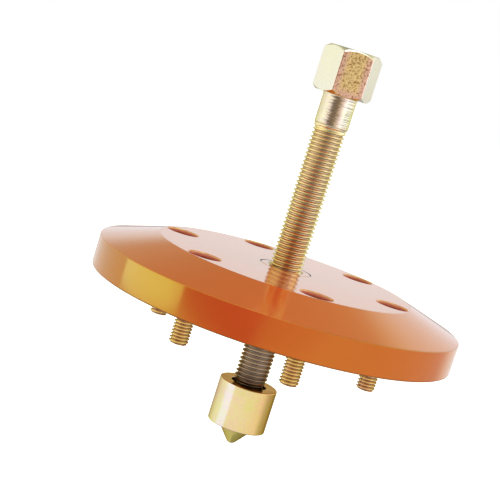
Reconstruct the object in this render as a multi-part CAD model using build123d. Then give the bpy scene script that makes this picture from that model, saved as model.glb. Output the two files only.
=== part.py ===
from build123d import *
import math
import os

# A flange puller, in millimetres. The origin is the centre of the plate's underside, the face that
# lies against the work, and +Z points up along the forcing screw to its hexagon head.

# Plate: a round steel disc with a flat crown, a conical shoulder and an upright rim
plate_radius = 123.825
plate_thickness = 31.75
rim_height = 20.0
crown_radius = 87.0
rim_edge_bevel = 0.8

# Cap screws: 1/2 in socket-head screws, as many as there are holes in the plate
cap_screw_count = 6
bolt_circle_radius = 75.2
cap_thread_radius = 6.35
cap_screw_length = 38.1
cap_screw_reach = 26.7
cap_head_radius = 9.525
cap_head_height = 12.7
cap_socket_flats = 9.525
cap_socket_depth = 6.35
cap_thread_clearance = 1.2
cap_head_clearance = 1.3

# Bush: a shouldered steel bush that carries the thread, let into the plate from below
bush_radius = 17.3
bush_shoulder_radius = 23.0
bush_shoulder_height = 7.0
bush_seat_clearance = 0.02
bush_lip_chamfer = 0.45
bush_mouth_chamfer = 1.4

# Forcing screw: 7/8 in - 9 thread below a plain shank and a 1-3/8 in hexagon head
thread_radius = 11.1125
thread_clearance = 0.05
thread_lead_length = 4.2
shank_radius = 11.45
shank_length = 20.5
shank_stand_off = 98.7
hexagon_flats = 34.925
hexagon_height = 30.5
hexagon_chamfer_angle = 43.0
hexagon_turn = -6.15

# Nose of the forcing screw: a neck for the retaining ring, a collar that the ring holds and a ball end
nose_radius = 9.5
neck_radius = 5.9
collar_height = 4.5
ball_end_radius = 8.0
ball_end_depth = 4.0

# Swivel cup: hangs on the nose and ends in a blunt centre point
cup_radius = 19.85
cup_height = 29.95
cup_drop = 50.25
cup_edge_chamfer = 0.6
mouth_radius = 12.1
mouth_depth = 9.0
nose_clearance = 0.4
thrust_play = 0.1
point_base_radius = 12.7
point_half_angle = 39.0
point_tip_round = 4.2

# Retaining ring: an internal spring ring with two eyes, in a groove near the top of the pocket
ring_thickness = 1.2
ring_band_width = 2.6
groove_depth = 0.8
groove_below_step = 1.5
groove_side_play = 0.1
groove_radial_play = 0.1
ring_collar_play = 0.3
ring_neck_room = 1.0
ring_eye_radius = 1.9
ring_eye_hole_radius = 0.9
ring_eye_clearance = 0.5
ring_gap_angle = 34.0

os.makedirs("parts", exist_ok=True)


def spun(profile):
    """Solid of revolution about Z from a closed profile drawn as radius across and height up."""
    return revolve(Plane.XZ * make_face(profile), Axis.Z)


def turned(*outline):
    """Solid of revolution about Z from a closed outline of (radius, height) points."""
    return spun(Polyline(*outline, close=True))


# Heights that several pieces share
seat_height = cap_screw_length - cap_screw_reach
shank_foot = plate_thickness + shank_stand_off
hexagon_foot = shank_foot + shank_length
cup_top = -cup_drop
cup_foot = cup_top - cup_height
step_height = cup_top - mouth_depth
groove_top = step_height - groove_below_step
groove_foot = groove_top - ring_thickness - 2 * groove_side_play
ring_foot = groove_foot + groove_side_play
ring_top = ring_foot + ring_thickness
collar_top = ring_foot - ring_collar_play
collar_foot = collar_top - collar_height
neck_top = ring_top + ring_neck_room
ball_end_foot = collar_foot - ball_end_depth
ball_end_centre = ball_end_foot + ball_end_radius
pocket_floor = ball_end_foot - thrust_play
pocket_radius = nose_radius + nose_clearance
groove_radius = pocket_radius + groove_depth
thread_lead_foot = cup_top
thread_foot = thread_lead_foot + thread_lead_length
bolt_places = PolarLocations(bolt_circle_radius, cap_screw_count)


# Puller plate: turned from bar, then bored for the bush and counterbored for the cap screws.
def make_plate():
    shoulder_slope = (plate_thickness - rim_height) / (plate_radius - crown_radius)
    plate = turned(
        (0, 0),
        (plate_radius - rim_edge_bevel, 0),
        (plate_radius, rim_edge_bevel),
        (plate_radius, rim_height - rim_edge_bevel),
        (plate_radius - rim_edge_bevel, rim_height + shoulder_slope * rim_edge_bevel),
        (crown_radius, plate_thickness),
        (0, plate_thickness),
    )

    # Each hole: clearance for the thread, and a counterbore with a flat seat for the head
    thread_hole_radius = cap_thread_radius + cap_thread_clearance
    head_hole_radius = cap_head_radius + cap_head_clearance
    hole = turned(
        (0, 0),
        (thread_hole_radius, 0),
        (thread_hole_radius, seat_height),
        (head_hole_radius, seat_height),
        (head_hole_radius, plate_thickness),
        (0, plate_thickness),
    )
    plate -= bolt_places * hole

    # The seat of the bush: its bore from the top, and the recess for its shoulder from below
    bore = bush_radius + bush_seat_clearance
    recess = bush_shoulder_radius + bush_seat_clearance
    plate -= turned(
        (0, 0),
        (recess, 0),
        (recess, bush_shoulder_height),
        (bore, bush_shoulder_height),
        (bore, plate_thickness - bush_lip_chamfer),
        (bore + bush_lip_chamfer, plate_thickness),
        (0, plate_thickness),
    )
    return plate


# Threaded bush: flush with both faces of the plate. Its shoulder sits below, because the reaction of the
# work drives the bush up into the plate.
def make_bush():
    bore = thread_radius + thread_clearance
    return turned(
        (bore + bush_mouth_chamfer, 0),
        (bush_shoulder_radius, 0),
        (bush_shoulder_radius, bush_shoulder_height),
        (bush_radius, bush_shoulder_height),
        (bush_radius, plate_thickness - bush_lip_chamfer),
        (bush_radius - bush_lip_chamfer, plate_thickness),
        (bore + bush_mouth_chamfer, plate_thickness),
        (bore, plate_thickness - bush_mouth_chamfer),
        (bore, bush_mouth_chamfer),
    )


# Forcing screw: one forging with its hexagon head, turned shank, thread envelope, nose and ball end.
def make_forcing_screw():
    hexagon_top = hexagon_foot + hexagon_height
    apothem = hexagon_flats / 2
    corner_radius = apothem / math.cos(math.radians(30))
    corner_drop = (corner_radius - apothem) * math.tan(math.radians(hexagon_chamfer_angle))

    outline = RegularPolygon(apothem, 6, major_radius=False, rotation=hexagon_turn + 30)
    head = Pos(0, 0, hexagon_foot) * extrude(outline, amount=hexagon_height)
    # Both ends of the hexagon are chamfered on the lathe, which leaves an arc on each flat
    head &= turned(
        (0, hexagon_foot),
        (apothem, hexagon_foot),
        (corner_radius, hexagon_foot + corner_drop),
        (corner_radius, hexagon_top - corner_drop),
        (apothem, hexagon_top),
        (0, hexagon_top),
    )

    ball_arc = math.degrees(math.acos((ball_end_centre - collar_foot) / ball_end_radius))
    stem = Polyline(
        (0, ball_end_foot),
        (0, hexagon_foot),
        (shank_radius, hexagon_foot),
        (shank_radius, shank_foot),
        (thread_radius, shank_foot),
        (thread_radius, thread_foot),
        (nose_radius, thread_lead_foot),
        (nose_radius, neck_top),
        (neck_radius, neck_top),
        (neck_radius, collar_top),
        (nose_radius, collar_top),
        (nose_radius, collar_foot),
        (ball_end_radius * math.sin(math.radians(ball_arc)), collar_foot),
    )
    return head + spun(stem + CenterArc((0, ball_end_centre), ball_end_radius, -90, ball_arc))


# Swivel cup: a turned cup with a stepped bore and a groove for the ring. The ball end bears on its floor.
def make_swivel_cup():
    half_angle = math.radians(point_half_angle)
    tip_centre = cup_foot - point_base_radius / math.tan(half_angle) + point_tip_round / math.sin(half_angle)
    shell = Polyline(
        (0, tip_centre - point_tip_round),
        (0, cup_top),
        (cup_radius - cup_edge_chamfer, cup_top),
        (cup_radius, cup_top - cup_edge_chamfer),
        (cup_radius, cup_foot + cup_edge_chamfer),
        (cup_radius - cup_edge_chamfer, cup_foot),
        (point_base_radius, cup_foot),
        (point_tip_round * math.cos(half_angle), tip_centre - point_tip_round * math.sin(half_angle)),
    )
    tip = CenterArc((0, tip_centre), point_tip_round, -90, 90 - point_half_angle)
    bore = turned(
        (0, pocket_floor),
        (pocket_radius, pocket_floor),
        (pocket_radius, groove_foot),
        (groove_radius, groove_foot),
        (groove_radius, groove_top),
        (pocket_radius, groove_top),
        (pocket_radius, step_height),
        (mouth_radius, step_height),
        (mouth_radius, cup_top),
        (0, cup_top),
    )
    return spun(shell + tip) - bore


# Retaining ring: a flat spring ring, open at the gap, with an eye at each end for the pliers.
def make_retaining_ring():
    outer = groove_radius - groove_radial_play
    eye_circle = neck_radius + ring_eye_clearance + ring_eye_radius
    eye_half_angle = ring_gap_angle / 2 + math.degrees(ring_eye_radius / eye_circle)

    band = Circle(outer) - Circle(outer - ring_band_width)
    gap = Polygon(
        (0, 0),
        (2 * outer, -2 * outer * math.tan(math.radians(ring_gap_angle / 2))),
        (2 * outer, 2 * outer * math.tan(math.radians(ring_gap_angle / 2))),
        align=None,
    )
    eyes = [Pos(*polar(eye_circle, side * eye_half_angle)) for side in (-1, 1)]
    for eye in eyes:
        band += eye * Circle(ring_eye_radius)
    band -= gap
    for eye in eyes:
        band -= eye * Circle(ring_eye_hole_radius)
    return Pos(0, 0, ring_foot) * extrude(band, amount=ring_thickness)


def polar(radius, degrees):
    """X and Y of the point at this radius and angle."""
    return radius * math.cos(math.radians(degrees)), radius * math.sin(math.radians(degrees))


# Cap screw: a cylinder head with a hexagon socket, seated on the floor of its counterbore.
def make_cap_screw():
    head_top = seat_height + cap_head_height
    foot = seat_height - cap_screw_length
    screw = turned(
        (0, foot),
        (cap_thread_radius, foot),
        (cap_thread_radius, seat_height),
        (cap_head_radius, seat_height),
        (cap_head_radius, head_top),
        (0, head_top),
    )
    key = RegularPolygon(cap_socket_flats / 2, 6, major_radius=False)
    return screw - Pos(0, 0, head_top) * extrude(key, amount=-cap_socket_depth)


parts = {
    "puller_plate": make_plate(),
    "threaded_bush": make_bush(),
    "forcing_screw": make_forcing_screw(),
    "swivel_cup": make_swivel_cup(),
    "retaining_ring": make_retaining_ring(),
}
for number, place in enumerate(bolt_places, start=1):
    parts[f"cap_screw_{number}"] = place * make_cap_screw()

for name, solid in parts.items():
    export_step(solid, f"parts/{name}.step")
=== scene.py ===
import math

import bmesh
import bpy
import numpy as np
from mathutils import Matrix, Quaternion, Vector


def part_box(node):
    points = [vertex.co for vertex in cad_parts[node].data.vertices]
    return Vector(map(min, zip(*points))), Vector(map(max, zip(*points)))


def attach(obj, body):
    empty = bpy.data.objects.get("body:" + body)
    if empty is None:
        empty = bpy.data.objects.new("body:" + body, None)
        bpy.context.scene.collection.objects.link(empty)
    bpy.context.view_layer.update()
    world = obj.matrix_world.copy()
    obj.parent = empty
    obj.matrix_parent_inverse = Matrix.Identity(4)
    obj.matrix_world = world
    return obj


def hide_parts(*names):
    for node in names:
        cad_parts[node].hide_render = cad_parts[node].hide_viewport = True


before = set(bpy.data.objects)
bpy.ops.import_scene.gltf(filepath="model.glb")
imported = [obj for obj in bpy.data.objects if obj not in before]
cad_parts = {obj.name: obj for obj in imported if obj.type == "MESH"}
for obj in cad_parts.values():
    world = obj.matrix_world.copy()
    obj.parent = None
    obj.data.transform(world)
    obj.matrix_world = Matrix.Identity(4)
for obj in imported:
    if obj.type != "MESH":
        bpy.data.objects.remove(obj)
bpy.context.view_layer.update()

mm = 0.001


# ---------------------------------------------------------------------------------------------
# Puller plate
# A disc turned from steel bar: flat crown, conical shoulder, upright rim. It is bored for the
# bush and counterbored for six cap screws, and wears a glossy orange lacquer over a gold ground.
# ---------------------------------------------------------------------------------------------

plate_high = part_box("puller_plate")[1]
plate_radius = plate_high.x
plate_top = plate_high.z
rim_top = 20.0 * mm
crown_radius = 87.0 * mm
crown_round = 2.2 * mm
shoulder_round = 0.4 * mm
foot_round = 0.6 * mm
screw_circle = 75.2 * mm
screw_count = 6
head_seat = 11.4 * mm
head_hole = 10.825 * mm
head_hole_lip = 0.55 * mm
shank_hole = 7.55 * mm
shank_hole_lip = 0.3 * mm
bush_seat = 17.32 * mm
bush_recess = 23.02 * mm
bush_recess_depth = 7.0 * mm
bush_seam = 0.45 * mm
side_way = (0.97, 0.24, 0.0)
far_way = (-0.24, 0.97, 0.0)


def rounded(corners, steps=5, guard=0.12 * mm):
    """Radius and height along an outline whose corners (radius, height, fillet) are rounded.

    An arc touches both sides at fillet * tan(turn / 2) from the corner, and its points lie at equal
    angles. One guard point beyond each end of the arc keeps the shading of the sides flat.
    """
    points = [np.array(corners[0][:2], float)]
    for before, corner, after in zip(corners, corners[1:], corners[2:]):
        at, fillet = np.array(corner[:2], float), corner[2]
        back = np.array(before[:2], float) - at
        ahead = np.array(after[:2], float) - at
        back, ahead = back / np.linalg.norm(back), ahead / np.linalg.norm(ahead)
        opening = math.acos(np.clip(back @ ahead, -1, 1))
        if fillet <= 0:
            points.append(at)
            continue
        reach = fillet / math.tan(opening / 2)
        middle = (back + ahead) / np.linalg.norm(back + ahead)
        centre = at + middle * fillet / math.sin(opening / 2)
        turn = (math.pi - opening) * np.linspace(-0.5, 0.5, steps + 1)[:, None]
        side = (ahead - back) / np.linalg.norm(ahead - back)
        arc = centre - fillet * (middle * np.cos(turn) - side * np.sin(turn))
        points += [at + back * (reach + guard), *arc, at + ahead * (reach + guard)]
    points.append(np.array(corners[-1][:2], float))
    return np.array(points).T


def around(count):
    """Equal angles round the axis, in radians, without the closing one."""
    return np.arange(count) * 2 * math.pi / count


def turned_skin(angles, radii, heights, centre=(0.0, 0.0)):
    """Grid of vertices and quads: each row is a closed curve round the axis through centre.

    A point is radius * (cos, sin) of its column's angle at its own height. Rows that run down the
    outside, in along the foot and up the bore give faces that look out of the metal.
    """
    shape = (np.shape(radii)[0], len(angles))
    radii = np.broadcast_to(np.reshape(radii, (shape[0], -1)), shape)
    heights = np.broadcast_to(np.reshape(heights, (shape[0], -1)), shape)
    points = np.stack(
        [centre[0] + radii * np.cos(angles), centre[1] + radii * np.sin(angles), heights], axis=-1
    )
    row, column = np.meshgrid(np.arange(shape[0] - 1), np.arange(shape[1]), indexing="ij")
    following = (column + 1) % shape[1]
    quads = np.stack(
        [
            row * shape[1] + column,
            (row + 1) * shape[1] + column,
            (row + 1) * shape[1] + following,
            row * shape[1] + following,
        ],
        axis=-1,
    )
    return points.reshape(-1, 3), quads.reshape(-1, 4)


def turned_over(skin):
    """The same surface with its faces looking the other way."""
    return skin[0], skin[1][:, ::-1]


weld_reach = 0.0005 * mm
sliver_reach = 0.0002 * mm
sharp_edge = math.radians(32.0)


def piece_from(name, skins, material, body, node):
    """One closed mesh from several skins that share their edges, in place of a CAD node."""
    starts = np.cumsum([0] + [len(points) for points, _ in skins])
    points = np.concatenate([points for points, _ in skins])
    quads = np.concatenate([quads + start for (_, quads), start in zip(skins, starts)])
    mesh = bpy.data.meshes.new(name)
    mesh.from_pydata(points.tolist(), [], quads.tolist())
    work = bmesh.new()
    work.from_mesh(mesh)
    bmesh.ops.remove_doubles(work, verts=work.verts, dist=weld_reach)
    bmesh.ops.dissolve_degenerate(work, edges=work.edges, dist=sliver_reach)
    work.to_mesh(mesh)
    work.free()
    mesh.shade_smooth()
    mesh.set_sharp_from_angle(angle=sharp_edge)
    mesh.materials.append(material)
    piece = bpy.data.objects.new(name, mesh)
    bpy.context.scene.collection.objects.link(piece)
    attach(piece, body)
    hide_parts(node)


def hole_sectors(inner, outer, columns, rungs):
    """Outlines of the sectors round the screw holes, and the directions of their points.

    Each sector runs half way to the next hole. Its outline goes along the outer arc, in along the
    side, back along the inner arc and out again. Directions are measured from the hole's centre.
    """
    half = math.pi / screw_count
    arc = np.linspace(-half, half, columns // screw_count + 1)
    side = np.linspace(outer, inner, rungs + 1)[1:-1]
    distance = np.concatenate([np.full(len(arc), outer), side, np.full(len(arc), inner), side[::-1]])
    bearing = np.concatenate([arc, np.full(len(side), half), arc[::-1], np.full(len(side), -half)])
    x, y = distance * np.cos(bearing), distance * np.sin(bearing)
    return x, y, np.arctan2(y, x - screw_circle)


def drilled_band(height, inner, outer, hole, columns, rungs):
    """Flat ring with a round hole in each sector: straight rays join the hole to the outline."""
    x, y, direction = hole_sectors(inner, outer, columns, rungs)
    share = np.array([0.0, 0.04, 0.3, 0.65, 0.96, 1.0])[:, None]
    near_x, near_y = screw_circle + hole * np.cos(direction), hole * np.sin(direction)
    x, y = near_x + (x - near_x) * share, near_y + (y - near_y) * share
    skins = []
    for turn in around(screw_count):
        points, quads = turned_skin(np.zeros(x.shape[1]), x, np.full_like(x, height))
        points[:, 0] = (x * math.cos(turn) - y * math.sin(turn)).ravel()
        points[:, 1] = (x * math.sin(turn) + y * math.cos(turn)).ravel()
        skins.append((points, quads))
    return skins


# Between the bore and the crown's edge the flat top and foot have one sector for each screw hole
band_inner = 32.0 * mm
band_outer = crown_radius - 0.42 * mm
plate_columns = 384
band_rungs = 20
plate_angles = around(plate_columns) + math.pi / screw_count

plate_outside = rounded(
    [
        (band_outer, plate_top),
        (crown_radius, plate_top, crown_round),
        (plate_radius, rim_top, shoulder_round),
        (plate_radius, 0.0, foot_round),
        (band_outer, 0.0),
    ]
)
plate_bore = rounded(
    [
        (band_inner, 0.0),
        (bush_recess, 0.0, 0.25 * mm),
        (bush_recess, bush_recess_depth, 0),
        (bush_seat, bush_recess_depth, 0),
        (bush_seat, plate_top - bush_seam, 0),
        (bush_seat + bush_seam, plate_top, 0.2 * mm),
        (band_inner, plate_top),
    ],
    steps=3,
    guard=0.05 * mm,
)
hole_wall = rounded(
    [
        (head_hole + head_hole_lip, plate_top),
        (head_hole, plate_top - head_hole_lip, 0.3 * mm),
        (head_hole, head_seat, 0.4 * mm),
        (shank_hole, head_seat, 0),
        (shank_hole, shank_hole_lip, 0),
        (shank_hole + shank_hole_lip, 0.0),
    ],
    steps=3,
)
sector_directions = hole_sectors(band_inner, band_outer, plate_columns, band_rungs)[2]
top_band = drilled_band(
    plate_top, band_inner, band_outer, head_hole + head_hole_lip, plate_columns, band_rungs
)
foot_band = drilled_band(
    0.0, band_inner, band_outer, shank_hole + shank_hole_lip, plate_columns, band_rungs
)
plate_skins = [
    turned_skin(plate_angles, *plate_outside),
    turned_skin(plate_angles, *plate_bore),
    *top_band,
    *map(turned_over, foot_band),
]
for turn in around(screw_count):
    hole_centre = (screw_circle * math.cos(turn), screw_circle * math.sin(turn))
    plate_skins.append(turned_over(turned_skin(sector_directions + turn, *hole_wall, centre=hole_centre)))


def fill(tree, node, inputs):
    """Gives a node's inputs plain values, or links them to other nodes' outputs."""
    for name, value in inputs.items():
        socket = node.inputs[name]
        if isinstance(value, bpy.types.NodeSocket):
            tree.links.new(value, socket)
        else:
            socket.default_value = (*value, 1.0) if socket.type == "RGBA" else value
    return node


def add(tree, kind, inputs=None, **settings):
    """Adds a shader node with its settings and inputs. A colour is red, green and blue."""
    node = tree.nodes.new("ShaderNode" + kind)
    for name, value in settings.items():
        setattr(node, name, value)
    return fill(tree, node, inputs or {})


def maths(tree, operation, *values):
    """Result of a Math node on numbers and sockets."""
    return add(tree, "Math", dict(enumerate(values)), operation=operation).outputs[0]


def product(tree, first, *others):
    """Product of two or more numbers that change over the surface."""
    for other in others:
        first = maths(tree, "MULTIPLY", first, other)
    return first


def vectors(tree, operation, *values):
    """Result of a Vector Math node: a number for a length or a dot product, or else a vector."""
    node = add(tree, "VectorMath", dict(enumerate(values)), operation=operation)
    return node.outputs["Value" if operation in ("LENGTH", "DOT_PRODUCT") else "Vector"]


def level(tree, x, y):
    """The place (x, y, 0)."""
    return add(tree, "CombineXYZ", {0: x, 1: y}).outputs[0]


def fade(tree, value, start, end, low=0.0, high=1.0, way="LINEAR"):
    """Goes from low to high while value goes from start to end, and stays level beyond them."""
    limits = {"From Min": start, "From Max": end, "To Min": low, "To Max": high}
    return add(tree, "MapRange", {"Value": value, **limits}, interpolation_type=way).outputs[0]


def line_at(tree, value, place, reach, core, strength=1.0):
    """Full where value is within core of a place, and gone where it is past reach from it."""
    off = maths(tree, "ABSOLUTE", maths(tree, "SUBTRACT", value, place))
    return fade(tree, off, reach, core, 0.0, strength)


def noise(tree, place, scale, detail, roughness=0.5):
    """Soft random values round one half, of a size of about one over scale."""
    inputs = {"Vector": place, "Scale": scale, "Detail": detail, "Roughness": roughness}
    return add(tree, "TexNoise", inputs).outputs["Fac"]


def mix_colour(tree, factor, first, second, blend="MIX"):
    """First colour at factor 0, second at factor 1. Each is a colour or a socket."""
    inputs = {0: factor, 6: first, 7: second}
    return add(tree, "Mix", inputs, data_type="RGBA", blend_type=blend).outputs[2]


def tinted(tree, colour, tint, share=1.0):
    """A colour multiplied by another one, in part or in full."""
    return mix_colour(tree, share, colour, tint, "MULTIPLY")


def grey(tree, value):
    """A grey of the given level."""
    return add(tree, "CombineColor", {channel: value for channel in range(3)}).outputs[0]


def colour_bands(tree, factor, stops):
    """Colour along a row of (position, colour) stops that runs evenly from each to the next."""
    node = add(tree, "ValToRGB", {0: factor})
    bands = node.color_ramp.elements
    while len(bands) < len(stops):
        bands.new(1.0)
    for band, (position, colour) in zip(bands, stops):
        band.position, band.color = position, (*colour, 1.0)
    return node.outputs[0]


def relief(tree, height, depth, under=None, strength=1.0):
    """Normals of a skin whose height, from 0 to 1, is depth deep. It lies over the relief under it."""
    inputs = {"Height": height, "Strength": strength, "Distance": depth}
    return add(tree, "Bump", inputs if under is None else {**inputs, "Normal": under}).outputs[0]


def new_group(name, inputs, outputs):
    """An empty shader group with named inputs (name, type, default) and outputs (name, type)."""
    group = bpy.data.node_groups.new(name, "ShaderNodeTree")
    for label, kind, value in inputs:
        socket = group.interface.new_socket(label, in_out="INPUT", socket_type="NodeSocket" + kind)
        socket.default_value = value
    for label, kind in outputs:
        group.interface.new_socket(label, in_out="OUTPUT", socket_type="NodeSocket" + kind)
    return group, group.nodes.new("NodeGroupInput").outputs, group.nodes.new("NodeGroupOutput")


def place_group(tree, group, inputs):
    """Puts a shader group into a material with its own values, and gives its one output."""
    node = tree.nodes.new("ShaderNodeGroup")
    node.node_tree = group
    return fill(tree, node, inputs).outputs[0]


def new_finish(name):
    """A material with its tree, its Principled shader and the object's own coordinates."""
    material = bpy.data.materials.new(name)
    material.use_nodes = True
    tree = material.node_tree
    return material, tree, tree.nodes["Principled BSDF"], add(tree, "TexCoord").outputs["Object"]


# Soft patches, as where a coat was laid on thicker: a large noise, pushed towards its ends
patches_group, patches_in, patches_out = new_group(
    "soft_patches", [("Scale", "Float", 30.0), ("Contrast", "Float", 2.0)], [("Mask", "Float")]
)
patches_place = add(patches_group, "TexCoord").outputs["Object"]
patches_noise = noise(patches_group, patches_place, patches_in["Scale"], 2.0)
patches_centred = maths(patches_group, "SUBTRACT", patches_noise, 0.5)
patches_inputs = {0: patches_centred, 1: patches_in["Contrast"], 2: 0.5}
patches_mask = add(patches_group, "Math", patches_inputs, operation="MULTIPLY_ADD", use_clamp=True)
fill(patches_group, patches_out, {"Mask": patches_mask.outputs[0]})

lacquer, lacquer_tree, lacquer_shader, lacquer_place = new_finish("orange_lacquer")
lacquer_patches = place_group(lacquer_tree, patches_group, {"Scale": 22.0, "Contrast": 2.2})
lacquer_colour = mix_colour(lacquer_tree, lacquer_patches, (0.6, 0.042, 0.015), (0.64, 0.05, 0.018))
lacquer_specks = noise(lacquer_tree, lacquer_place, 2600.0, 3.0)
lacquer_grain = fade(lacquer_tree, lacquer_specks, 0.3, 0.7, 0.96, 1.04)
lacquer_even = tinted(lacquer_tree, lacquer_colour, grey(lacquer_tree, lacquer_grain))
# In the counterbores the colour is painted light: a pale painted highlight at the lip, then painted shade
# that deepens down the bore
lacquer_x, lacquer_y, lacquer_height = add(lacquer_tree, "SeparateXYZ", {0: lacquer_place}).outputs
lacquer_out = vectors(lacquer_tree, "LENGTH", level(lacquer_tree, lacquer_x, lacquer_y))
lacquer_sunk = fade(lacquer_tree, lacquer_height, plate_top - 0.25 * mm, plate_top - 0.5 * mm)
lacquer_within = fade(lacquer_tree, lacquer_out, crown_radius - 0.2 * mm, crown_radius - 0.5 * mm)
lacquer_raised = fade(lacquer_tree, lacquer_height, 0.7 * mm, 1.2 * mm)
lacquer_bored = product(lacquer_tree, lacquer_sunk, lacquer_within, lacquer_raised)
lacquer_depth = fade(lacquer_tree, lacquer_height, plate_top - 0.4 * mm, plate_top - 3.4 * mm)
lacquer_bore_shade = colour_bands(
    lacquer_tree,
    lacquer_depth,
    [
        (0.0, (0.95, 0.46, 0.32)),
        (0.25, (0.88, 0.3, 0.23)),
        (0.6, (0.66, 0.13, 0.1)),
        (1.0, (0.24, 0.03, 0.024)),
    ],
)
lacquer_bore_shaded = mix_colour(lacquer_tree, lacquer_bored, lacquer_even, lacquer_bore_shade)
# Painted shade: a dark line on the far side of the seam round the bush
lacquer_ring = line_at(lacquer_tree, lacquer_out, bush_seat, 0.7 * mm, 0.5 * mm)
lacquer_back = vectors(lacquer_tree, "DOT_PRODUCT", lacquer_place, far_way)
lacquer_far = fade(lacquer_tree, lacquer_back, -6.0 * mm, 2.0 * mm)
lacquer_seam_shade = product(lacquer_tree, lacquer_ring, lacquer_far)
# The rim's lower edge is darkened all round, and its upper edge carries a line of painted shade on one side
lacquer_foot = fade(lacquer_tree, lacquer_height, 0.9 * mm, 0.5 * mm, 0.0, 0.7)
lacquer_rim = fade(lacquer_tree, lacquer_out, plate_radius - 1.2 * mm, plate_radius - 0.6 * mm)
lacquer_foot_line = product(lacquer_tree, lacquer_foot, lacquer_rim)
lacquer_shoulder = line_at(lacquer_tree, lacquer_height, rim_top, 0.4 * mm, 0.2 * mm, 0.22)
lacquer_side = vectors(lacquer_tree, "DOT_PRODUCT", lacquer_place, side_way)
lacquer_one_side = fade(lacquer_tree, lacquer_side, -10.0 * mm, 30.0 * mm)
lacquer_outer = fade(lacquer_tree, lacquer_out, plate_radius - 8.0 * mm, plate_radius - 7.0 * mm)
lacquer_shoulder_shade = product(lacquer_tree, lacquer_shoulder, lacquer_one_side, lacquer_outer)
# The painted shade at the seam and the shoulder, with the darkened lower edge, turns the lacquer near black
# and takes its gloss away
lacquer_edges = maths(lacquer_tree, "MAXIMUM", lacquer_shoulder_shade, lacquer_foot_line)
lacquer_shade_and_dark_lines = maths(lacquer_tree, "MAXIMUM", lacquer_seam_shade, lacquer_edges)
lacquer_peel = noise(lacquer_tree, lacquer_place, 420.0, 2.0)
fill(
    lacquer_tree,
    lacquer_shader,
    {
        "Base Color": mix_colour(lacquer_tree, lacquer_shade_and_dark_lines, lacquer_bore_shaded, (0.03, 0.012, 0.008)),
        "Roughness": fade(lacquer_tree, lacquer_patches, 0.0, 1.0, 0.1, 0.14),
        "IOR": 2.5,
        "Specular IOR Level": fade(lacquer_tree, lacquer_shade_and_dark_lines, 0.0, 1.0, 0.5, 0.0),
        "Specular Tint": (0.6, 1.0, 0.1),
        "Coat Weight": fade(lacquer_tree, lacquer_shade_and_dark_lines, 0.0, 1.0, 0.6, 0.0),
        "Coat Roughness": 0.04,
        "Coat IOR": 1.2,
        "Normal": relief(lacquer_tree, lacquer_peel, 0.1 * mm, strength=0.03),
    },
)

piece_from("plate_body", plate_skins, lacquer, "plate", "puller_plate")


# ---------------------------------------------------------------------------------------------
# Threaded bush
# A shouldered steel sleeve that carries the screw's thread. It is pressed in from below until its
# shoulder seats, faced off flush with the plate, and lacquered with it.
# ---------------------------------------------------------------------------------------------

bush_radius = 17.3 * mm
bush_shoulder = 23.0 * mm
bush_bore = 11.1625 * mm
bush_mouth = 1.4 * mm

bush_outline = rounded(
    [
        (bush_bore, bush_mouth),
        (bush_bore, plate_top - bush_mouth, 0),
        (bush_bore + bush_mouth, plate_top, 0.15 * mm),
        (bush_radius - bush_seam, plate_top, 0.2 * mm),
        (bush_radius, plate_top - bush_seam, 0),
        (bush_radius, bush_recess_depth, 0),
        (bush_shoulder, bush_recess_depth, 0),
        (bush_shoulder, 0.0, 0.25 * mm),
        (bush_bore + bush_mouth, 0.0, 0.15 * mm),
        (bush_bore, bush_mouth),
    ],
    steps=3,
    guard=0.05 * mm,
)
bush_skins = [turned_skin(around(192), *bush_outline)]
piece_from("bush_body", bush_skins, lacquer, "plate", "threaded_bush")


# ---------------------------------------------------------------------------------------------
# Forcing screw
# One forging: hexagon head, turned shank, rolled coarse thread, and a nose with a neck, a collar
# and a ball end. It is zinc plated and yellow passivated, and oily from the bush down.
# ---------------------------------------------------------------------------------------------

hexagon_turn = math.radians(-6.15)
hexagon_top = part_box("forcing_screw")[1].z
hexagon_foot = hexagon_top - 30.5 * mm
hexagon_reach = 34.925 * mm / 2
hexagon_corner_round = 0.4 * mm
hexagon_face = 16.6 * mm
hexagon_bevel = math.tan(math.radians(40.0))
screw_shank = 11.45 * mm
screw_shank_foot = plate_top + 98.7 * mm
foot_face_inner = screw_shank + 1.1 * mm
screw_crest = 11.1125 * mm
screw_pitch = 25.4 / 9 * mm
screw_thread_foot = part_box("swivel_cup")[1].z
screw_lead = 4.2 * mm
screw_nose = 9.5 * mm
neck_radius = 5.9 * mm
neck_top = screw_thread_foot - 9.6 * mm
collar_top = neck_top - 2.5 * mm
collar_foot = collar_top - 4.5 * mm
ball_end = 8.0 * mm
ball_end_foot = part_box("forcing_screw")[0].z
ball_rise = ball_end + ball_end_foot - collar_foot


def hexagon_columns(flat_steps):
    """Angles from one hexagon corner right round, with extra ones on the rounded corners."""
    corner = np.radians([0.0, 0.6, 1.25, 1.9])
    flat = np.linspace(corner[-1], math.pi / 3 - corner[-1], flat_steps + 1)
    sixth = np.concatenate([corner[:-1], flat, math.pi / 3 - corner[:0:-1][1:]])
    return (around(6)[:, None] + sixth[None, :]).ravel()


def hexagon_radius(angles, reach, corner_round):
    """Distance from the axis to a hexagon with rounded corners, at angles from one of its corners.

    The flat lies at reach / cos(angle from its middle). Near a corner it gives way to a circle of
    corner_round whose centre lies (reach - corner_round) / cos(30 degrees) out.
    """
    from_corner = (angles + math.pi / 6) % (math.pi / 3) - math.pi / 6
    flat = reach / np.cos(math.pi / 6 - np.abs(from_corner))
    out = (reach - corner_round) / math.cos(math.pi / 6)
    inside = np.maximum(corner_round**2 - (out * np.sin(from_corner)) ** 2, 0)
    return np.minimum(flat, np.where(inside > 0, out * np.cos(from_corner) + np.sqrt(inside), flat))


thread_depth = 0.6134


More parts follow.
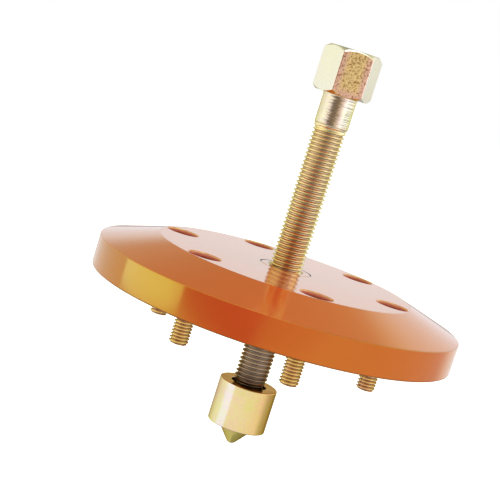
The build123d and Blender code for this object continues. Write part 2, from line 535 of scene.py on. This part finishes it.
def thread_skin(angles, crest, pitch, low, high, run_out, cone):
    """Right-hand thread as one grid that climbs one pitch per turn.

    Along a pitch the depth follows a truncated V of 60 degrees with softened crest and root, which is
    thread_depth * pitch deep. Heights are clipped to low and high, and the depth fades to nothing
    over run_out (foot, top), so both ends close on plain circles. A cone (radius at low, length)
    bevels the foot.
    """
    share = np.array([0.0, 0.05, 0.09, 0.22, 0.35, 0.41, 0.5, 0.59, 0.65, 0.78, 0.91, 0.95])
    depth = np.array([0.0, 0.02, 0.1, 0.48, 0.88, 0.975, 1.0, 0.975, 0.88, 0.48, 0.1, 0.02])
    depth = depth * thread_depth * pitch
    turns = int(math.ceil((high - low) / pitch)) + 2
    rise = (np.arange(turns)[:, None] + share[None, :]).ravel()
    cut = np.tile(depth, turns)
    turn = (angles - angles[0]) / (2 * math.pi)
    heights = low + pitch * (rise[:, None] - 1 + turn[None, :])
    clipped = np.clip(heights, low, high)
    whole = np.clip((clipped - low) / run_out[0], 0, 1) * np.clip((high - clipped) / run_out[1], 0, 1)
    bevel = cone[0] + (crest - cone[0]) * np.clip((clipped - low) / cone[1], 0, 1)
    radii = bevel - np.clip(bevel - crest + cut[:, None], 0, None) * whole
    points, quads = turned_skin(angles, radii[::-1], clipped[::-1])
    # The seam joins the last column to the first one a whole pitch further up
    rows, columns = radii.shape
    body = quads.reshape(rows - 1, columns, 4)[:, :-1].reshape(-1, 4)
    step = np.arange(len(share), rows - 1)
    ahead = step - len(share)
    seam = np.stack(
        [
            ahead * columns + columns - 1 + len(share) * columns,
            (ahead + 1) * columns + columns - 1 + len(share) * columns,
            (ahead + 1) * columns,
            ahead * columns,
        ],
        axis=-1,
    )
    return points, np.concatenate([body, seam])


screw_angles = hexagon_columns(12) + hexagon_turn + math.pi / 6
screw_hexagon = hexagon_radius(screw_angles - screw_angles[0], hexagon_reach, hexagon_corner_round)
screw_top_bevel = hexagon_top - (screw_hexagon - hexagon_face) * hexagon_bevel
screw_foot_bevel = hexagon_foot + (screw_hexagon - hexagon_reach) * hexagon_bevel
screw_ones = np.ones(len(screw_angles))
# Rows close beside the hexagon's edges make them narrow bevels and keep the flats flat
edge_in, edge_up, edge_down, edge_guard = 0.12 * mm, 0.03 * mm, 0.1 * mm, 0.4 * mm
screw_head_rows = [
    (0.0 * screw_ones, hexagon_top * screw_ones),
    (0.5 * hexagon_face * screw_ones, hexagon_top * screw_ones),
    ((hexagon_face - 0.3 * mm) * screw_ones, hexagon_top * screw_ones),
    (hexagon_face * screw_ones, (hexagon_top - 0.06 * mm) * screw_ones),
    (screw_hexagon - edge_in, screw_top_bevel + edge_up),
    (screw_hexagon, screw_top_bevel - edge_down),
    (screw_hexagon, screw_top_bevel - edge_guard),
    (screw_hexagon, screw_foot_bevel + edge_guard),
    (screw_hexagon, screw_foot_bevel + edge_down),
    (screw_hexagon - edge_in, screw_foot_bevel - edge_up),
    ((hexagon_reach - 0.25 * mm) * screw_ones, hexagon_foot * screw_ones),
    (foot_face_inner * screw_ones, hexagon_foot * screw_ones),
]
screw_head_radii, screw_head_heights = (np.array(rows) for rows in zip(*screw_head_rows))
screw_shank_line = rounded(
    [
        (foot_face_inner, hexagon_foot),
        (screw_shank, hexagon_foot, 0.8 * mm),
        (screw_shank, screw_shank_foot, 0.12 * mm),
        (screw_crest, screw_shank_foot),
    ],
    steps=4,
    guard=0.05 * mm,
)
screw_nose_line = rounded(
    [
        (screw_nose, screw_thread_foot),
        (screw_nose, neck_top, 0.2 * mm),
        (neck_radius, neck_top, 0.2 * mm),
        (neck_radius, collar_top, 0.2 * mm),
        (screw_nose, collar_top, 0.2 * mm),
        (screw_nose, collar_foot, 0.4 * mm),
        (math.sqrt(ball_end**2 - ball_rise**2), collar_foot),
    ],
    steps=3,
    guard=0.05 * mm,
)
ball_arc = np.linspace(math.acos(ball_rise / ball_end), 0, 12)
ball_heights = ball_end_foot + ball_end - ball_end * np.cos(ball_arc)
screw_skins = [
    turned_skin(screw_angles, screw_head_radii, screw_head_heights),
    turned_skin(screw_angles, *screw_shank_line),
    thread_skin(
        screw_angles,
        screw_crest,
        screw_pitch,
        screw_thread_foot,
        screw_shank_foot,
        (0.3 * mm, 1.6 * screw_pitch),
        (screw_nose, screw_lead),
    ),
    turned_skin(screw_angles, *screw_nose_line),
    turned_skin(screw_angles, ball_end * np.sin(ball_arc), ball_heights),
]

# Yellow passivation over zinc: a thin film whose tint drifts from straw to pink and to green
film_group, film_in, film_out = new_group(
    "passivation_tint",
    [
        ("Straw", "Color", (1.0, 1.0, 1.0, 1)),
        ("Pink", "Color", (1.0, 0.9, 1.08, 1)),
        ("Green", "Color", (0.94, 1.0, 0.84, 1)),
        ("Scale", "Float", 55.0),
    ],
    [("Color", "Color")],
)
film_place = add(film_group, "TexCoord").outputs["Object"]
film_slow = noise(film_group, film_place, film_in["Scale"], 1.5)
film_shift = vectors(film_group, "ADD", film_place, (0.31, 0.17, 0.23))
film_other = noise(film_group, film_shift, film_in["Scale"], 1.5)
film_pink = fade(film_group, film_slow, 0.48, 0.68)
film_green = fade(film_group, film_other, 0.5, 0.7)
film_warm = mix_colour(film_group, film_pink, film_in["Straw"], film_in["Pink"])
fill(film_group, film_out, {"Color": mix_colour(film_group, film_green, film_warm, film_in["Green"])})

# Lines left by the lathe: noise that is long round the axis and fine along it
lathe_group, lathe_in, lathe_out = new_group(
    "turning_lines", [("Fineness", "Float", 1400.0)], [("Height", "Float")]
)
lathe_spot = add(lathe_group, "TexCoord").outputs["Object"]
lathe_x, lathe_y, lathe_height = add(lathe_group, "SeparateXYZ", {0: lathe_spot}).outputs
lathe_inputs = {0: level(lathe_group, lathe_x, lathe_y), "Scale": 24.0}
lathe_slow = add(lathe_group, "VectorMath", lathe_inputs, operation="SCALE").outputs[0]
lathe_along = product(lathe_group, lathe_height, lathe_in["Fineness"])
lathe_stack = add(lathe_group, "CombineXYZ", {2: lathe_along}).outputs[0]
lathe_place = vectors(lathe_group, "ADD", lathe_slow, lathe_stack)
fill(lathe_group, lathe_out, {"Height": noise(lathe_group, lathe_place, 1.0, 2.0)})


def zinc_finish(name, film, edge, roughness, grain_depth, lathe_depth):
    """Plated steel: tinted metal, a fine grain and lathe lines as relief, and a patchy sheen.

    The film is a list of (slant, colour), slant being one less the cosine of the angle of view.
    Returns the material, its tree, shader and coordinates, and its tint, sheen and relief.
    """
    material, tree, shader, place = new_finish(name)
    slant = add(tree, "LayerWeight", {"Blend": 0.5}).outputs["Facing"]
    tint = tinted(tree, colour_bands(tree, slant, film), place_group(tree, film_group, {}))
    cloud = place_group(tree, patches_group, {"Scale": 160.0, "Contrast": 2.0})
    sheen = fade(tree, cloud, 0.0, 1.0, roughness * 0.8, roughness * 1.25)
    grain = relief(tree, noise(tree, place, 1500.0, 3.0), grain_depth)
    lines = relief(tree, place_group(tree, lathe_group, {"Fineness": 1500.0}), lathe_depth, grain)
    fill(tree, shader, {"Base Color": tint, "Metallic": 1.0, "Roughness": sheen})
    fill(tree, shader, {"Specular Tint": edge, "Normal": lines})
    return material, tree, shader, place, tint, sheen, lines


# Partly painted highlight: the screw's film turns pale at middle slants, over its straw and gold
screw_zinc, screw_tree, screw_shader, screw_place, screw_tint, screw_sheen, screw_relief = zinc_finish(
    "screw_zinc",
    [
        (0.0, (0.84, 0.57, 0.33)),
        (0.05, (0.84, 0.65, 0.53)),
        (0.14, (0.86, 0.78, 0.66)),
        (0.3, (0.85, 0.78, 0.66)),
        (0.5, (0.84, 0.79, 0.53)),
        (0.66, (0.83, 0.79, 0.49)),
        (0.85, (0.84, 0.81, 0.54)),
    ],
    (0.66, 0.6, 0.33),
    0.13,
    0.006 * mm,
    0.006 * mm,
)

# The thread's roots are painted darker, as painted shade. Below the bush the screw is oily, and it grows
# darker towards the cup
screw_height = add(screw_tree, "SeparateXYZ", {0: screw_place}).outputs[2]
screw_above = fade(screw_tree, screw_height, screw_shank_foot - 0.4 * mm, screw_shank_foot + 0.2 * mm)
screw_cloud = place_group(screw_tree, patches_group, {"Scale": 90.0, "Contrast": 2.5})
screw_wiped = maths(screw_tree, "MULTIPLY_ADD", screw_cloud, 6.0 * mm, screw_height)
screw_dry = fade(screw_tree, screw_wiped, plate_top - 3.0 * mm, plate_top + 3.0 * mm)
screw_level = vectors(screw_tree, "MULTIPLY", screw_place, (1.0, 1.0, 0.0))
screw_across = vectors(screw_tree, "LENGTH", screw_level)
screw_crown = fade(screw_tree, screw_across, screw_crest - 1.65 * mm, screw_crest - 0.95 * mm)
screw_clean = mix_colour(screw_tree, 0.8, screw_tint, (1.0, 0.87, 0.58))
screw_thread_tint = mix_colour(screw_tree, screw_crown, (0.62, 0.47, 0.34), screw_clean)
screw_oil = mix_colour(screw_tree, screw_cloud, (0.72, 0.61, 0.48), (0.82, 0.69, 0.51))
screw_oil_root_shade = mix_colour(screw_tree, screw_crown, (0.36, 0.28, 0.22), screw_oil)
# Painted shade: the oiled thread darkens towards its sides
screw_slant = add(screw_tree, "LayerWeight", {"Blend": 0.5}).outputs["Facing"]
screw_shade = colour_bands(
    screw_tree, screw_slant, [(0.12, (1.0, 1.0, 1.0)), (0.3, (0.92, 0.9, 0.88)), (0.55, (0.5, 0.45, 0.42))]
)
screw_shaded = tinted(screw_tree, screw_oil_root_shade, screw_shade)
screw_near_cup = fade(screw_tree, screw_height, -36.0 * mm, -50.0 * mm)
screw_oil_and_shade = tinted(screw_tree, screw_shaded, (0.5, 0.46, 0.44), screw_near_cup)
screw_low = mix_colour(screw_tree, screw_dry, screw_oil_and_shade, screw_thread_tint)
# Painted shade: a darker band in the corner where the thread runs out under the shank
screw_runout_shade = line_at(screw_tree, screw_height, screw_shank_foot, 0.9 * mm, 0.5 * mm)
# On the forged hexagon the film goes pink at the corners and the foot, and the skin is rough
screw_corner = fade(screw_tree, screw_across, hexagon_reach + 0.6 * mm, hexagon_reach + 1.7 * mm)
screw_foot_zone = fade(screw_tree, screw_height, hexagon_foot + 6.0 * mm, hexagon_foot + 2.0 * mm)
screw_edge_zone = maths(screw_tree, "MAXIMUM", screw_corner, screw_foot_zone)
screw_on_hexagon = fade(screw_tree, screw_height, hexagon_foot, hexagon_foot + 0.5 * mm)
screw_skin = noise(screw_tree, screw_place, 620.0, 4.0, 0.65)
screw_pits = fade(screw_tree, screw_skin, 0.38, 0.5, 0.9, 0.0)
screw_shown = fade(screw_tree, screw_slant, 0.08, 0.3, 1.0, 0.06)
screw_pink = product(screw_tree, screw_edge_zone, screw_shown)
screw_pitted = product(screw_tree, screw_pits, screw_shown)
# Painted highlight: the hexagon's faces turn pale when seen aslant, over their straw colour
screw_straw_highlit = colour_bands(
    screw_tree,
    screw_slant,
    [
        (0.0, (1.0, 0.68, 0.27)),
        (0.12, (1.0, 0.77, 0.42)),
        (0.32, (0.88, 0.87, 0.84)),
        (0.6, (0.86, 0.85, 0.84)),
    ],
)
screw_flushed = tinted(screw_tree, screw_straw_highlit, (1.0, 0.86, 1.4), screw_pink)
screw_forged = tinted(screw_tree, screw_flushed, (0.42, 0.27, 0.18), screw_pitted)
# The lathe-cut bevel at its top is tinted paler and bluer
screw_cone_base = -hexagon_face * hexagon_bevel - hexagon_top
screw_cone = maths(screw_tree, "MULTIPLY_ADD", screw_across, hexagon_bevel, screw_cone_base)
screw_past = maths(screw_tree, "ADD", screw_cone, screw_height)
screw_bevel_zone = fade(screw_tree, screw_past, -0.3 * mm, -0.15 * mm)
screw_bevelled = tinted(screw_tree, screw_forged, (1.15, 1.12, 1.4), screw_bevel_zone)
screw_upper = mix_colour(screw_tree, screw_on_hexagon, screw_tint, screw_bevelled)
screw_whole = mix_colour(screw_tree, screw_above, screw_low, screw_upper)
# Oil dulls it below the bush, and the turned shank shows coarser tool marks than the rolled thread
screw_rough_height = product(screw_tree, screw_skin, screw_on_hexagon)
screw_forging = relief(screw_tree, screw_rough_height, 0.1 * mm, screw_relief)
screw_turned = maths(screw_tree, "SUBTRACT", screw_above, screw_on_hexagon)
screw_lines = place_group(screw_tree, lathe_group, {"Fineness": 1000.0})
screw_marks = product(screw_tree, screw_lines, screw_turned)
fill(
    screw_tree,
    screw_shader,
    {
        "Base Color": mix_colour(screw_tree, screw_runout_shade, screw_whole, (0.7, 0.57, 0.4)),
        "Roughness": fade(screw_tree, screw_dry, 0.0, 1.0, 0.36, screw_sheen),
        "Normal": relief(screw_tree, screw_marks, 0.16 * mm, screw_forging),
    },
)
piece_from("screw_body", screw_skins, screw_zinc, "forcing_screw", "forcing_screw")


# ---------------------------------------------------------------------------------------------
# Swivel cup
# A cup turned from bar, with a stepped bore and a blunt centre point. It hangs on the screw's
# collar by a spring ring, so that it stands still on the shaft while the screw turns in it.
# ---------------------------------------------------------------------------------------------

cup_low, cup_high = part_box("swivel_cup")
cup_radius = cup_high.x
cup_top = cup_high.z
cup_foot = cup_top - 29.95 * mm
cup_tip = cup_low.z
mouth_radius = 12.1 * mm
mouth_depth = 9.0 * mm
pocket_radius = 9.9 * mm
pocket_floor = ball_end_foot - 0.1 * mm
groove_radius = 10.7 * mm
groove_top = cup_top - mouth_depth - 1.5 * mm
groove_foot = groove_top - 1.4 * mm
point_base = 12.7 * mm
point_half_angle = math.radians(39.0)
point_round = 4.2 * mm

point_arc = np.linspace(math.pi / 2 - point_half_angle, 0, 14)
point_heights = cup_tip + point_round * (1 - np.cos(point_arc))
cup_outline = rounded(
    [
        (0.0, pocket_floor),
        (pocket_radius, pocket_floor, 0.5 * mm),
        (pocket_radius, groove_foot, 0),
        (groove_radius, groove_foot, 0),
        (groove_radius, groove_top, 0),
        (pocket_radius, groove_top, 0),
        (pocket_radius, cup_top - mouth_depth, 0.2 * mm),
        (mouth_radius, cup_top - mouth_depth, 0.3 * mm),
        (mouth_radius, cup_top, 0.35 * mm),
        (cup_radius, cup_top, 0.55 * mm),
        (cup_radius, cup_foot, 0.7 * mm),
        (point_base, cup_foot, 0.3 * mm),
        (point_round * math.cos(point_half_angle), cup_tip + point_round * (1 - math.sin(point_half_angle))),
    ],
    steps=4,
    guard=0.06 * mm,
)
cup_skins = [
    turned_skin(around(192), *cup_outline),
    turned_skin(around(192), point_round * np.sin(point_arc), point_heights),
]
cup_zinc, cup_tree, cup_shader, cup_place, cup_tint = zinc_finish(
    "cup_zinc",
    [(0.0, (1.0, 1.0, 1.0)), (1.0, (1.0, 1.0, 1.0))],
    (0.52, 0.4, 0.26),
    0.12,
    0.004 * mm,
    0.003 * mm,
)[:5]
# Painted light: the cup is pale on the side towards the left lamps, with a painted highlight stripe, and a
# darker, deeper gold on the far side from them
cup_side = vectors(cup_tree, "DOT_PRODUCT", cup_place, side_way)
cup_side_light = colour_bands(
    cup_tree,
    fade(cup_tree, cup_side, -cup_radius, cup_radius),
    [
        (0.0, (0.84, 0.8, 0.62)),
        (0.04, (0.82, 0.73, 0.38)),
        (0.14, (0.87, 0.78, 0.45)),
        (0.18, (0.92, 0.86, 0.74)),
        (0.27, (0.94, 0.86, 0.76)),
        (0.31, (0.87, 0.7, 0.38)),
        (0.5, (0.88, 0.7, 0.36)),
        (0.67, (0.86, 0.68, 0.3)),
        (0.82, (0.85, 0.58, 0.24)),
        (0.93, (0.82, 0.56, 0.16)),
        (1.0, (0.6, 0.42, 0.14)),
    ],
)
cup_blotch = colour_bands(
    cup_tree,
    noise(cup_tree, cup_place, 210.0, 2.5),
    [
        (0.36, (0.96, 1.0, 0.84)),
        (0.47, (1.0, 1.0, 1.0)),
        (0.56, (1.0, 0.94, 1.02)),
        (0.66, (1.0, 1.03, 0.92)),
    ],
)
cup_gold = tinted(cup_tree, cup_tint, tinted(cup_tree, cup_side_light, cup_blotch))
# The point's film is greener
cup_height = add(cup_tree, "SeparateXYZ", {0: cup_place}).outputs[2]
cup_tip_zone = fade(cup_tree, cup_height, cup_foot - 0.1 * mm, cup_foot - 0.5 * mm)
cup_film = tinted(cup_tree, cup_gold, (1.0, 1.06, 0.66), cup_tip_zone)
# The face round the mouth is browner and darker
cup_mouth = fade(cup_tree, cup_height, cup_top - 0.25 * mm, cup_top - 0.02 * mm)
cup_cloud = place_group(cup_tree, patches_group, {"Scale": 120.0, "Contrast": 2.5})
cup_top_brown = mix_colour(cup_tree, cup_cloud, (0.56, 0.36, 0.18), (0.76, 0.5, 0.25))
fill(cup_tree, cup_shader, {"Base Color": mix_colour(cup_tree, cup_mouth, cup_film, cup_top_brown)})
piece_from("cup_body", cup_skins, cup_zinc, "swivel_cup", "swivel_cup")


# ---------------------------------------------------------------------------------------------
# Retaining ring
# A flat spring ring, stamped from strip and blacked in oil. It snaps into the groove of the cup
# and keeps the screw's collar in its pocket.
# ---------------------------------------------------------------------------------------------

ring_black, ring_tree, ring_shader = new_finish("blacked_spring_steel")[:3]
ring_cloud = place_group(ring_tree, patches_group, {"Scale": 400.0, "Contrast": 3.0})
ring_colour = mix_colour(ring_tree, ring_cloud, (0.03, 0.028, 0.026), (0.09, 0.07, 0.055))
fill(ring_tree, ring_shader, {"Base Color": ring_colour, "Metallic": 0.8, "Roughness": 0.38})
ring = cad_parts["retaining_ring"]
ring.data.materials.clear()
ring.data.materials.append(ring_black)


# ---------------------------------------------------------------------------------------------
# Cap screws
# Six socket-head screws of alloy steel, rolled thread, yellow zinc plated. Each head sits on the
# floor of its counterbore, and the thread stands out below the plate.
# ---------------------------------------------------------------------------------------------

cap_low, cap_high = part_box("cap_screw_1")
cap_top = cap_high.z
cap_foot = cap_low.z
cap_head = 9.525 * mm
cap_crest = 6.35 * mm
cap_pitch = 25.4 / 12 * mm
cap_end_bevel = 1.3 * mm
cap_thread_top = 4.0 * mm
socket_reach = 9.525 * mm / 2
socket_depth = 6.35 * mm
socket_mouth = 0.35 * mm
socket_lead = 0.8

cap_angles = hexagon_columns(8)
cap_hexagon = hexagon_radius(cap_angles, socket_reach, 0.05 * mm)
cap_ones = np.ones(len(cap_angles))
cap_mouth = cap_hexagon.max() + socket_mouth
cap_lead = (cap_hexagon.max() - cap_hexagon) * socket_lead
cap_head_rows = [
    (0.0 * cap_ones, (cap_top - socket_depth - 1.2 * mm) * cap_ones),
    (0.9 * socket_reach * cap_ones, (cap_top - socket_depth) * cap_ones),
    (cap_hexagon, (cap_top - socket_depth) * cap_ones),
    (cap_hexagon, (cap_top - socket_depth + 0.2 * mm) * cap_ones),
    (cap_hexagon, cap_top - 0.4 * mm - cap_lead),
    (cap_hexagon, cap_top - 0.3 * mm - cap_lead),
    (cap_mouth * cap_ones, cap_top * cap_ones),
    ((cap_mouth + 0.1 * mm) * cap_ones, cap_top * cap_ones),
]
cap_head_line = rounded(
    [
        (cap_mouth + 0.1 * mm, cap_top),
        (cap_head - 0.8 * mm, cap_top, 0.3 * mm),
        (cap_head, cap_top - 0.8 * mm, 0.3 * mm),
        (cap_head, head_seat, 0.3 * mm),
        (cap_crest, head_seat, 0.3 * mm),
        (cap_crest, cap_thread_top),
    ],
    steps=3,
    guard=0.06 * mm,
)
cap_radii, cap_heights = (np.array(rows) for rows in zip(*cap_head_rows))
cap_end_line = rounded([(cap_crest - cap_end_bevel, cap_foot), (1.0 * mm, cap_foot, 0), (0.0, cap_foot)])
cap_skins = [
    turned_skin(cap_angles, cap_radii, cap_heights),
    turned_skin(cap_angles, *cap_head_line),
    thread_skin(
        cap_angles,
        cap_crest,
        cap_pitch,
        cap_foot,
        cap_thread_top,
        (0.25 * mm, 1.2 * cap_pitch),
        (cap_crest - cap_end_bevel, cap_end_bevel),
    ),
    turned_skin(cap_angles, *cap_end_line),
]
cap_zinc, cap_tree, cap_shader, cap_place, cap_tint = zinc_finish(
    "cap_screw_zinc",
    [(0.0, (0.82, 0.48, 0.2)), (0.3, (0.84, 0.54, 0.26)), (0.7, (0.84, 0.66, 0.34))],
    (0.5, 0.38, 0.24),
    0.22,
    0.006 * mm,
    0.0,
)[:5]
# Round each screw's own axis the crests carry a painted highlight and the roots painted shade
cap_x, cap_y = add(cap_tree, "SeparateXYZ", {0: cap_place}).outputs[:2]
cap_out = vectors(cap_tree, "LENGTH", level(cap_tree, cap_x, cap_y))
cap_bearing = maths(cap_tree, "ARCTAN2", cap_y, cap_x)
cap_folded = maths(cap_tree, "WRAP", cap_bearing, math.pi / screw_count, -math.pi / screw_count)
cap_side = product(cap_tree, cap_out, maths(cap_tree, "SINE", cap_folded))
cap_cosine = maths(cap_tree, "COSINE", cap_folded)
cap_ahead = maths(cap_tree, "MULTIPLY_ADD", cap_out, cap_cosine, -screw_circle)
cap_across = vectors(cap_tree, "LENGTH", level(cap_tree, cap_ahead, cap_side))
cap_crown = fade(cap_tree, cap_across, cap_crest - 1.2 * mm, cap_crest - 0.7 * mm)
cap_crest_highlight_root_shade = mix_colour(cap_tree, cap_crown, (0.6, 0.48, 0.46), (1.22, 1.5, 1.7))
fill(cap_tree, cap_shader, {"Base Color": tinted(cap_tree, cap_tint, cap_crest_highlight_root_shade)})
for number, turn in enumerate(around(screw_count), start=1):
    screw = f"cap_screw_{number}"
    place = np.array([screw_circle * math.cos(turn), screw_circle * math.sin(turn), 0.0])
    skins = [(points + place, quads) for points, quads in cap_skins]
    piece_from(f"{screw}_body", skins, cap_zinc, screw, screw)


# ---------------------------------------------------------------------------------------------
# Studio
# A pale table in a white room with a darker ceiling and a dark slanting gap beside the camera.
# Two lamps on the left are only mirrored, one in front only lights, and a broad one is overhead.
# ---------------------------------------------------------------------------------------------

floor_height = cup_low.z - 110.0 * mm
floor_size = 30.0
floor_reach = 0.8
floor_glow = 0.8
camera_place = Vector((187.423, -872.343, 159.599)) * mm
camera_target = Vector((-25.659, -5.292, 35.987)) * mm
camera_roll = math.radians(17.46)
camera_lens = 97.665
away = (camera_target - camera_place).normalized()

floor_mesh = bpy.data.meshes.new("floor")
floor_corners = [(-1, -1), (1, -1), (1, 1), (-1, 1)]
floor_points = [(x * floor_size, y * floor_size, floor_height) for x, y in floor_corners]
floor_mesh.from_pydata(floor_points, [], [(0, 1, 2, 3)])
floor = bpy.data.objects.new("floor", floor_mesh)
bpy.context.scene.collection.objects.link(floor)
floor_paint = bpy.data.materials.new("floor_paint")
floor_paint.use_nodes = True
floor_tree = floor_paint.node_tree
floor_tree.nodes.remove(floor_tree.nodes["Principled BSDF"])
floor_rays = add(floor_tree, "LightPath").outputs
floor_spot = add(floor_tree, "TexCoord").outputs["Object"]
floor_x, floor_y = add(floor_tree, "SeparateXYZ", {0: floor_spot}).outputs[:2]
floor_matt = add(floor_tree, "BsdfDiffuse", {"Color": (0.84, 0.84, 0.84)}).outputs[0]
floor_lift = product(floor_tree, floor_rays["Is Camera Ray"], floor_glow)
floor_glint = add(floor_tree, "Emission", {"Strength": floor_lift}).outputs[0]
floor_lit = add(floor_tree, "AddShader", {0: floor_matt, 1: floor_glint}).outputs[0]
# What bright metal mirrors is a painted glow on the floor: whiter towards the left lamp, with a painted
# shadow under the puller and a painted shadow pool near it towards the back right, and greyer far to the
# right and far behind it
floor_far = vectors(floor_tree, "LENGTH", floor_spot)
floor_bearing = vectors(floor_tree, "NORMALIZE", level(floor_tree, floor_x, floor_y))


def floor_towards(degrees, start, end, high, low):
    """Goes from high to low as a place on the floor lies more closely towards a bearing."""
    bearing = (math.cos(math.radians(degrees)), math.sin(math.radians(degrees)), 0.0)
    closeness = vectors(floor_tree, "DOT_PRODUCT", floor_bearing, bearing)
    return fade(floor_tree, closeness, start, end, high, low, "SMOOTHSTEP")


floor_near_shadow = floor_towards(60.0, 0.45, 0.95, 1.0, 0.58)
floor_right = floor_towards(-10.0, 0.3, 0.6, 1.0, 0.62)
floor_behind = floor_towards(104.0, 0.9, 0.99, 1.0, 0.5)
floor_distant = product(floor_tree, floor_right, floor_behind)
floor_even = fade(floor_tree, floor_far, 0.75, 1.1, floor_near_shadow, floor_distant)
floor_under_shadow = fade(floor_tree, floor_far, 0.22, 0.45, 0.62, 1.0, "SMOOTHSTEP")
floor_mirrored = product(floor_tree, floor_even, floor_under_shadow)
floor_mirror_glow = add(floor_tree, "Emission", {"Strength": floor_mirrored}).outputs[0]
floor_choice = {0: floor_rays["Is Glossy Ray"], 1: floor_lit, 2: floor_mirror_glow}
floor_shown = add(floor_tree, "MixShader", floor_choice).outputs[0]
# The table ends in front, on the camera's side, and has no underside
floor_cover = fade(floor_tree, floor_y, -floor_reach - 0.3, -floor_reach, way="SMOOTHSTEP")
floor_back = add(floor_tree, "NewGeometry").outputs["Backfacing"]
floor_there = product(floor_tree, floor_cover, maths(floor_tree, "SUBTRACT", 1.0, floor_back))
floor_gone = add(floor_tree, "BsdfTransparent").outputs[0]
floor_whole = add(floor_tree, "MixShader", {0: floor_there, 1: floor_gone, 2: floor_shown}).outputs[0]
fill(floor_tree, floor_tree.nodes["Material Output"], {"Surface": floor_whole})
floor_mesh.materials.append(floor_paint)

world = bpy.data.worlds.new("studio")
bpy.context.scene.world = world
world.use_nodes = True
sky = world.node_tree
sky_direction = add(sky, "TexCoord").outputs["Generated"]
sky_height = add(sky, "SeparateXYZ", {0: sky_direction}).outputs[2]
sky_behind = vectors(sky, "DOT_PRODUCT", sky_direction, (away.x, away.y, 0.0))
sky_right = vectors(sky, "DOT_PRODUCT", sky_direction, (away.y, -away.x, 0.0))
sky_wall = fade(sky, sky_behind, -1.0, -0.7, 0.8, 1.05, "SMOOTHSTEP")
# The dark slanting gap stands between the left lamps and the place of the camera
gap_half_width = math.radians(14.0)
gap_head, gap_foot = (
    Quaternion((0, 0, 1), math.radians(turn)) @ Vector((-away.x, -away.y, rise)).normalized()
    for turn, rise in ((-13.5, 0.0), (-30.0, -0.167))
)
gap_dark, gap_clear = math.sin(gap_half_width * 0.8), math.sin(gap_half_width * 1.15)
sky_aside = vectors(sky, "DOT_PRODUCT", sky_direction, gap_head.cross(gap_foot).normalized())
sky_off_gap = maths(sky, "ABSOLUTE", sky_aside)
sky_open = fade(sky, sky_off_gap, gap_dark, gap_clear, 0.3, 1.0, "SMOOTHSTEP")
sky_beyond = fade(sky, sky_behind, -0.5, -0.2)
sky_cleared = maths(sky, "MAXIMUM", sky_open, sky_beyond)
# In front it darkens below the table's edge
sky_low = fade(sky, sky_height, -0.13, -0.08, 0.5, 1.0)
sky_front = product(sky, sky_cleared, maths(sky, "MAXIMUM", sky_low, sky_beyond))
sky_side = product(sky, sky_wall, sky_front)
# The ceiling leans, is darkest overhead, and is lighter towards its right and its two ends
sky_leaning = maths(sky, "MULTIPLY_ADD", sky_right, -0.45, sky_height)
sky_roof = fade(sky, sky_leaning, 0.3, 0.52, 0.0, 1.0, "SMOOTHSTEP")
sky_overhead = fade(sky, sky_height, 0.5, 0.72)
sky_vault = mix_colour(sky, sky_overhead, (0.54, 0.53, 0.34), (0.4, 0.4, 0.24))
sky_vault_right = fade(sky, sky_right, -0.05, 0.25, 1.0, 1.25)
sky_vault_end = fade(sky, maths(sky, "ABSOLUTE", sky_right), 0.22, 0.38, 1.0, 1.9)
sky_vault_level = product(sky, sky_vault_right, sky_vault_end)
sky_ceiling = tinted(sky, sky_vault, grey(sky, sky_vault_level))
sky_hue = mix_colour(sky, sky_roof, grey(sky, sky_side), sky_ceiling)
# The far wall is a cooler white than the rest, and the room is a little lighter on the right
sky_far_wall = fade(sky, sky_behind, 0.6, 0.85)
sky_cool = mix_colour(sky, sky_far_wall, sky_hue, tinted(sky, sky_hue, (0.95, 1.0, 1.09)))
sky_lighter = fade(sky, sky_right, 0.4, 0.9, 1.0, 1.45, "SMOOTHSTEP")
sky_level = tinted(sky, sky_cool, grey(sky, sky_lighter))
sky_camera = add(sky, "LightPath").outputs["Is Camera Ray"]
fill(sky, sky.nodes["Background"], {"Color": mix_colour(sky, sky_camera, sky_level, (1, 1, 1))})


def soft_lamp(name, direction, distance, width, height, brightness, mirrored=True, lights=True):
    """A flat rectangular lamp that faces the puller, of an even brightness over its face.

    One that is not mirrored only lights matt surfaces; one that does not light is only mirrored.
    """
    lamp = bpy.data.lights.new(name, "AREA")
    lamp.shape = "RECTANGLE"
    lamp.size, lamp.size_y = width, height
    lamp.energy = brightness * math.pi * width * height
    holder = bpy.data.objects.new(name, lamp)
    bpy.context.scene.collection.objects.link(holder)
    direction = Vector(direction).normalized()
    holder.location = direction * distance
    holder.rotation_mode = "QUATERNION"
    holder.rotation_quaternion = direction.to_track_quat("Z", "Y")
    holder.visible_glossy = mirrored
    holder.visible_diffuse = lights


soft_lamp("left_lamp", (-0.768, -0.64, 0.23), 1.1, 1.25, 0.8, 0.12, lights=False)
soft_lamp("left_foot_lamp", (-0.893, -0.449, -0.145), 1.11, 0.96, 0.09, 1.2, lights=False)
soft_lamp("front_lamp", (0.4, -0.85, 0.35), 1.3, 1.0, 0.8, 1.9, mirrored=False)
soft_lamp("top_lamp", (0.05, 0.1, 1.0), 1.6, 0.9, 0.9, 1.6)

camera = bpy.data.objects.new("camera", bpy.data.cameras.new("camera"))
bpy.context.scene.collection.objects.link(camera)
camera.data.lens = camera_lens
camera.data.sensor_width = 36.0
camera.location = camera_place
camera.rotation_mode = "QUATERNION"
camera.rotation_quaternion = away.to_track_quat("-Z", "Y") @ Quaternion((0, 0, 1), camera_roll)
bpy.context.scene.camera = camera
bpy.context.scene.view_settings.view_transform = "Standard"
